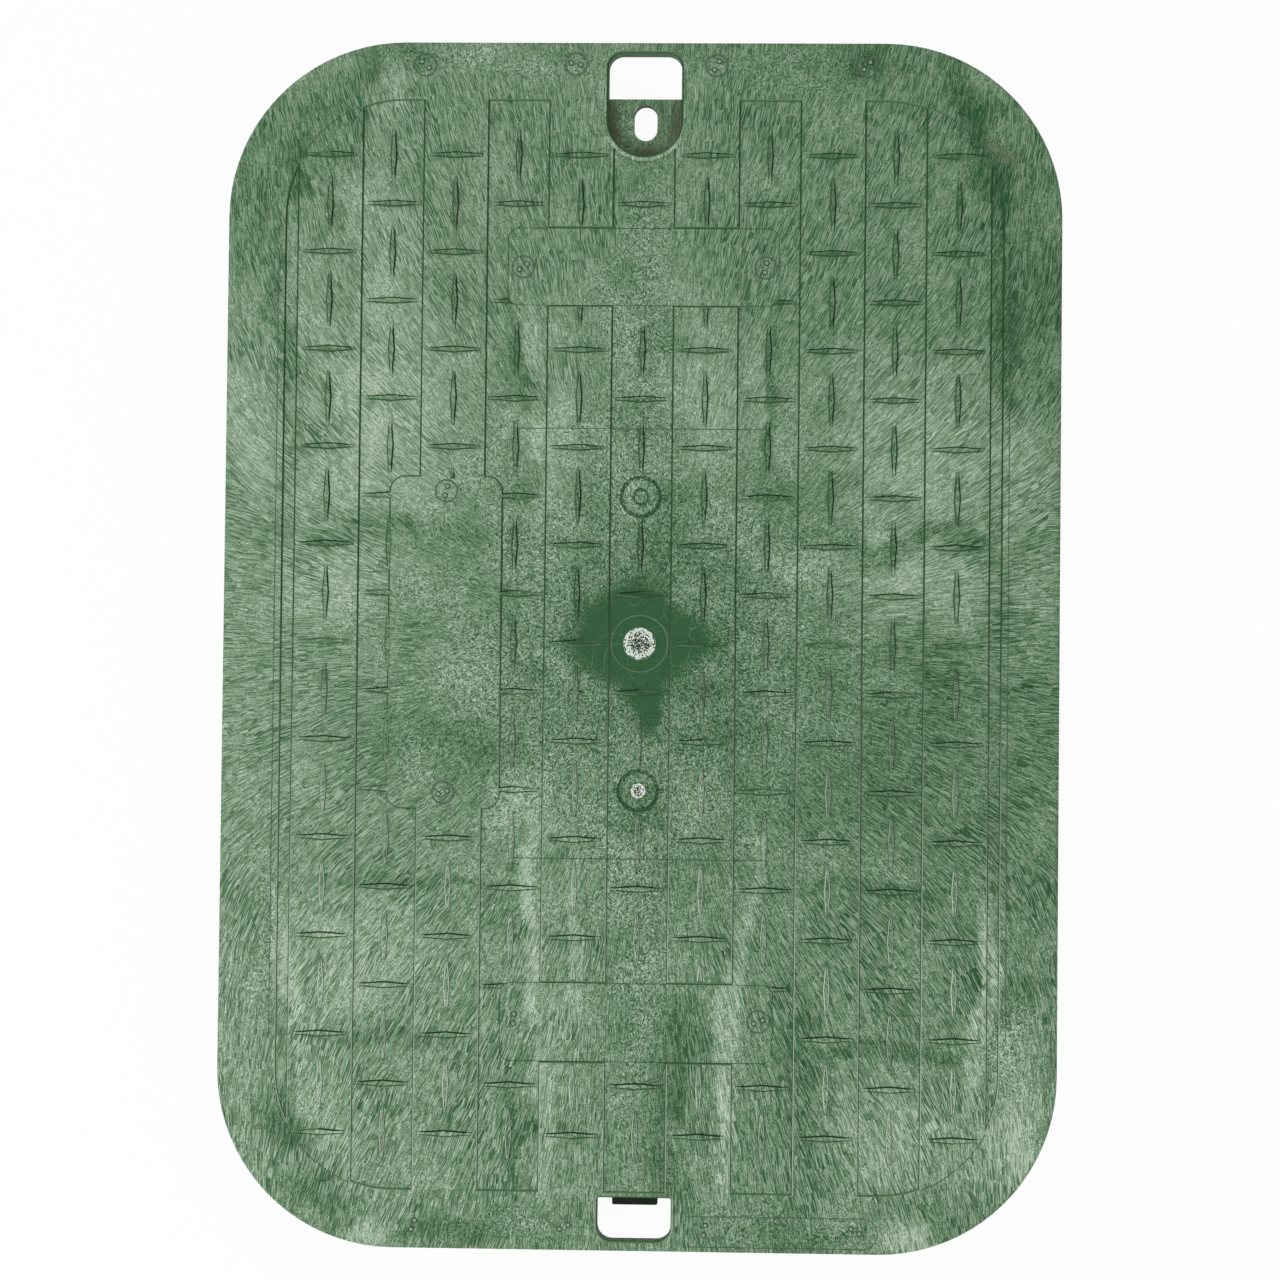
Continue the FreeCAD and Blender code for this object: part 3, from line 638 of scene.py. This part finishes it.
def mould_seams(target):
    """Thin beads along the seams, laid onto the upper side of the target."""
    paths = [[(x0, y0), (x1, y1)] for x0, y0, x1, y1 in SEAM_LINES]
    for cx, cy, radius, start, end in SEAM_ARCS:
        turns = [math.radians(start + (end - start) * i / ARC_STEPS) for i in range(ARC_STEPS + 1)]
        paths.append([(cx + radius * math.cos(t), cy + radius * math.sin(t)) for t in turns])
    verts, edges = [], []
    for path in paths:
        edges += [(len(verts) + i, len(verts) + i + 1) for i in range(len(path) - 1)]
        verts += [Vector((x, y, RIM_Z)) * MM for x, y in path]
    seed = bpy.data.meshes.new("mould_seam_lines")
    seed.from_pydata(verts, edges, [])
    sizes = {"Line Radius": 0.17, "Sample Length": 1.2, "Probe Height": 60.0, "Probe Reach": 100.0}
    tree, given = new_tree("mould_seams", sizes)
    lines = add(tree, "GeometryNodeMeshToCurve", [given["Geometry"]])
    lines = add(tree, "GeometryNodeResampleCurve", {"Curve": lines, "Length": given["Sample Length"]},
                mode="LENGTH")
    body = add(tree, "GeometryNodeObjectInfo", {"Object": target})
    spot = add(tree, "ShaderNodeSeparateXYZ", [add(tree, "GeometryNodeInputPosition")])
    probe = add(tree, "ShaderNodeCombineXYZ", [spot.outputs[0], spot.outputs[1], given["Probe Height"]])
    hit = add(tree, "GeometryNodeRaycast",
              {"Target Geometry": body.outputs["Geometry"], "Source Position": probe,
               "Ray Direction": (0, 0, -1), "Ray Length": given["Probe Reach"]})
    lines = add(tree, "GeometryNodeSetPosition", {"Geometry": lines, "Position": hit.outputs["Hit Position"]})
    bead = add(tree, "GeometryNodeCurvePrimitiveCircle",
               {"Resolution": BEAD_STEPS, "Radius": given["Line Radius"]})
    whole = add(tree, "GeometryNodeCurveToMesh", {"Curve": lines, "Profile Curve": bead, "Fill Caps": True})
    whole = add(tree, "GeometryNodeRealizeInstances", [whole])
    whole = add(tree, "GeometryNodeSetMaterial", {"Geometry": whole, "Material": given["Material"]})
    add(tree, "NodeGroupOutput", [whole])
    return grown_piece("mould_seams", tree, seed, sizes, shaded_plastic)


def torn_gates():
    """Flat rough caps where the plastic broke off at the gates."""
    seed = bpy.data.meshes.new("torn_gate_places")
    seed.from_pydata([Vector(gate[:3]) * MM for gate in TORN_GATES], [], [])
    radii = seed.attributes.new("radius", "FLOAT", "POINT")
    radii.data.foreach_set("value", [gate[3] * MM for gate in TORN_GATES])
    sizes = {"Height": 0.35, "Roughness": 0.7, "Cell Size": 1.3}
    tree, given = new_tree("torn_gates", sizes)
    ball = add(tree, "GeometryNodeMeshUVSphere", {"Segments": 48, "Rings": 24, "Radius": 1.0})
    radius = add(tree, "GeometryNodeInputNamedAttribute", {"Name": "radius"}, data_type="FLOAT")
    size = add(tree, "ShaderNodeCombineXYZ", [radius, radius, given["Height"]])
    balls = add(tree, "GeometryNodeInstanceOnPoints",
                {"Points": given["Geometry"], "Instance": ball, "Scale": size})
    whole = add(tree, "GeometryNodeRealizeInstances", [balls])
    scale = add(tree, "ShaderNodeMath", [1.0, given["Cell Size"]], operation="DIVIDE")
    torn = add(tree, "ShaderNodeTexNoise", {"Vector": add(tree, "GeometryNodeInputPosition"), "Scale": scale,
                                           "Detail": 2.0})
    torn = add(tree, "ShaderNodeMath", [torn, 0.5], operation="SUBTRACT")
    torn = add(tree, "ShaderNodeMath", [torn, given["Roughness"]], operation="MULTIPLY")
    torn = add(tree, "ShaderNodeCombineXYZ", {2: torn})
    whole = add(tree, "GeometryNodeSetPosition", {"Geometry": whole, "Offset": torn})
    whole = add(tree, "GeometryNodeSetMaterial", {"Geometry": whole, "Material": given["Material"]})
    add(tree, "NodeGroupOutput", [whole])
    return grown_piece("torn_gates", tree, seed, sizes, torn_plastic)


cover = rounded_cover()
screw_prints()
mould_seams(cover)
torn_gates()
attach(cover, "root")
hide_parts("cover")


# Floor and light: white card under a large soft lamp on the left, with an even white room around
CARD_GLOW = 0.95        # share of even white that the card shows to the eye
FLOOR_Z = -0.2 * MM     # just under the feet of the ribs, so that no two faces lie in one plane
FLOOR_REACH = 3.0
ROOM_LIGHT = 0.75
LAMP_PLACE = Vector((-0.75, -0.35, 1.35))


def white_card():
    """White paper card, pressed: matt and even, and nearly pure white to the eye, with a faint shadow."""
    material, tree, _, _, shader = new_material("paper_card_white")
    shader.inputs["Base Color"].default_value = linear("#F4F4F4")
    shader.inputs["Roughness"].default_value = 0.9
    path = add(tree, "ShaderNodeLightPath")
    seen = add(tree, "ShaderNodeMath", [path.outputs["Is Camera Ray"], path.outputs["Is Glossy Ray"]],
               operation="MAXIMUM")
    seen = add(tree, "ShaderNodeMath", [seen, path.outputs["Is Transmission Ray"]], operation="MAXIMUM")
    share = add(tree, "ShaderNodeMath", [seen, CARD_GLOW], operation="MULTIPLY")
    glow = add(tree, "ShaderNodeEmission", {"Color": (1, 1, 1, 1), "Strength": 1.0})
    mixed = add(tree, "ShaderNodeMixShader", [share, shader, glow])
    add(tree, "ShaderNodeOutputMaterial", [mixed]).is_active_output = True
    return material


floor_mesh = bpy.data.meshes.new("floor")
floor_corners = [(x * FLOOR_REACH, y * FLOOR_REACH, FLOOR_Z) for x, y in ((-1, -1), (1, -1), (1, 1), (-1, 1))]
floor_mesh.from_pydata(floor_corners, [], [(0, 1, 2, 3)])
floor_mesh.materials.append(white_card())
floor = bpy.data.objects.new("floor", floor_mesh)
scene.collection.objects.link(floor)

world = bpy.data.worlds.new("white_room")
world.use_nodes = True
room = world.node_tree
room.nodes.clear()
path = add(room, "ShaderNodeLightPath")
seen = add(room, "ShaderNodeMath", [path.outputs["Is Camera Ray"], path.outputs["Is Transmission Ray"]],
           operation="MAXIMUM")
strength = add(room, "ShaderNodeMapRange", {"Value": seen, "To Min": ROOM_LIGHT, "To Max": 1.0})
air = add(room, "ShaderNodeBackground", {"Color": (1, 1, 1, 1), "Strength": strength})
add(room, "ShaderNodeOutputWorld", [air])
scene.world = world

lamp_data = bpy.data.lights.new("soft_lamp", "AREA")
lamp_data.energy = 8.0
lamp_data.shape = "RECTANGLE"
lamp_data.size = 0.7
lamp_data.size_y = 0.9
lamp = bpy.data.objects.new("soft_lamp", lamp_data)
lamp.matrix_world = Matrix.Translation(LAMP_PLACE) @ LAMP_PLACE.to_track_quat("Z", "Y").to_matrix().to_4x4()
scene.collection.objects.link(lamp)
